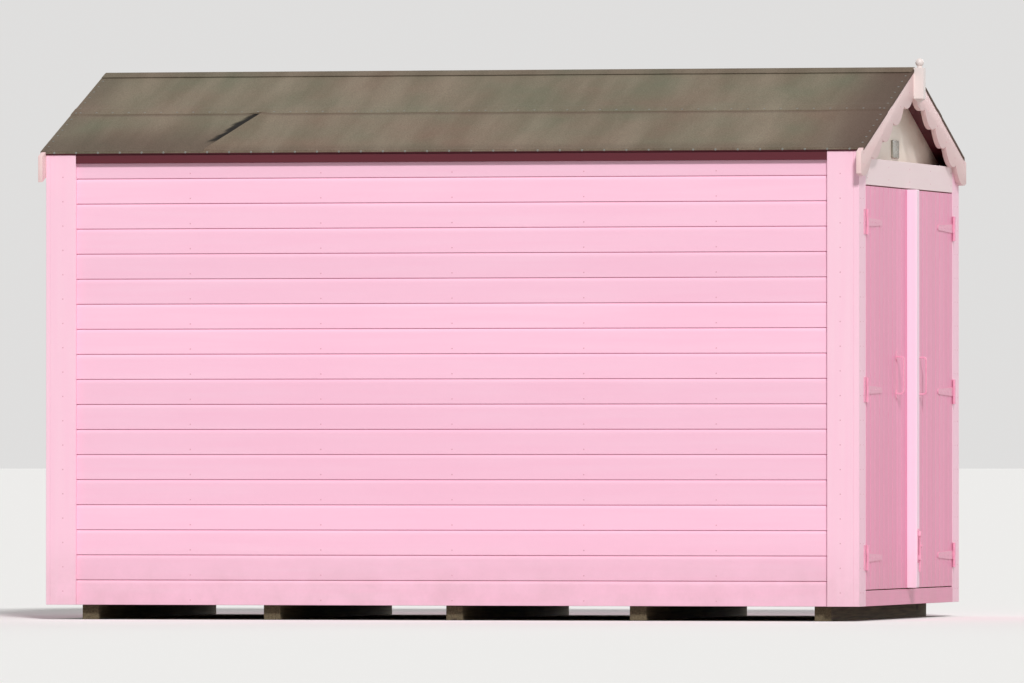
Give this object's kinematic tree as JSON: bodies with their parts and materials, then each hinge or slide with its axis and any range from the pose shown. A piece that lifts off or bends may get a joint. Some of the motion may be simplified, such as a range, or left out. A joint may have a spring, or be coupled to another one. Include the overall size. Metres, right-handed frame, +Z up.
{
  "type": "beach hut",
  "caption": "Timber beach hut with boarded walls, felted pitched roof, scalloped bargeboards, a finial and a pair of outward opening doors.",
  "frame": {"origin": "on the ground, at the middle of the hut's bounding box", "axes": "+Z up, +Y from the doors to the back wall, along the ridge, +X across the hut"},
  "size_m": [2.29, 3.768, 2.4893],
  "materials": {
    "pink_paint": "painted",
    "pale_pink_paint": "painted",
    "door_paint": "painted",
    "white_paint": "painted",
    "maroon_paint": "painted",
    "bare_timber": "sawn",
    "treated_timber": "sawn",
    "roofing_felt": "mineral",
    "painted_steel": "painted",
    "plaque_enamel": "enamel"
  },
  "bodies": {
    "hut": {"floor_bearers": "treated_timber", "floor_joists": "bare_timber", "floor_boards": "bare_timber", "left_wall_boarding": "pink_paint", "right_wall_boarding": "pink_paint", "back_wall_boarding": "pink_paint", "left_wall_studs": "bare_timber", "right_wall_studs": "bare_timber", "back_wall_studs": "bare_timber", "left_wall_rails": "bare_timber", "right_wall_rails": "bare_timber", "back_wall_rails": "bare_timber", "front_corner_posts": "bare_timber", "door_jambs": "bare_timber", "door_head": "bare_timber", "door_threshold": "bare_timber", "front_sill_board": "door_paint", "front_gable_frame": "white_paint", "front_gable_panel": "white_paint", "gable_plaque": "plaque_enamel", "front_corner_boards": "pale_pink_paint", "side_corner_boards": "pale_pink_paint", "back_corner_boards": "pale_pink_paint", "ridge_board": "bare_timber", "rafters": "bare_timber", "left_roof_boards": "bare_timber", "right_roof_boards": "bare_timber", "eave_fascias": "maroon_paint", "left_roof_felt": "roofing_felt", "right_roof_felt": "roofing_felt", "ridge_capping": "roofing_felt", "left_bargeboard": "pale_pink_paint", "right_bargeboard": "pale_pink_paint", "back_bargeboards": "pale_pink_paint", "finial": "white_paint", "hinge_flanges": "painted_steel"},
    "left_door": {"left_door_boards": "door_paint", "left_door_ledges": "door_paint", "left_hinge_straps": "painted_steel", "meeting_batten": "pink_paint", "left_handle_and_bolt": "painted_steel"},
    "right_door": {"right_door_boards": "door_paint", "right_door_ledges": "door_paint", "right_hinge_straps": "painted_steel", "right_pull_handle": "painted_steel"}
  },
  "joints": [
    {"name": "left_door_hinge", "type": "hinge", "parent": "hut", "child": "left_door", "pos_m": [-0.9375, -1.8243, 1], "axis": [0, 0, -1], "range_deg": [0, 120]},
    {"name": "right_door_hinge", "type": "hinge", "parent": "hut", "child": "right_door", "pos_m": [0.9375, -1.8243, 1], "axis": [0, 0, 1], "range_deg": [0, 120]}
  ]
}
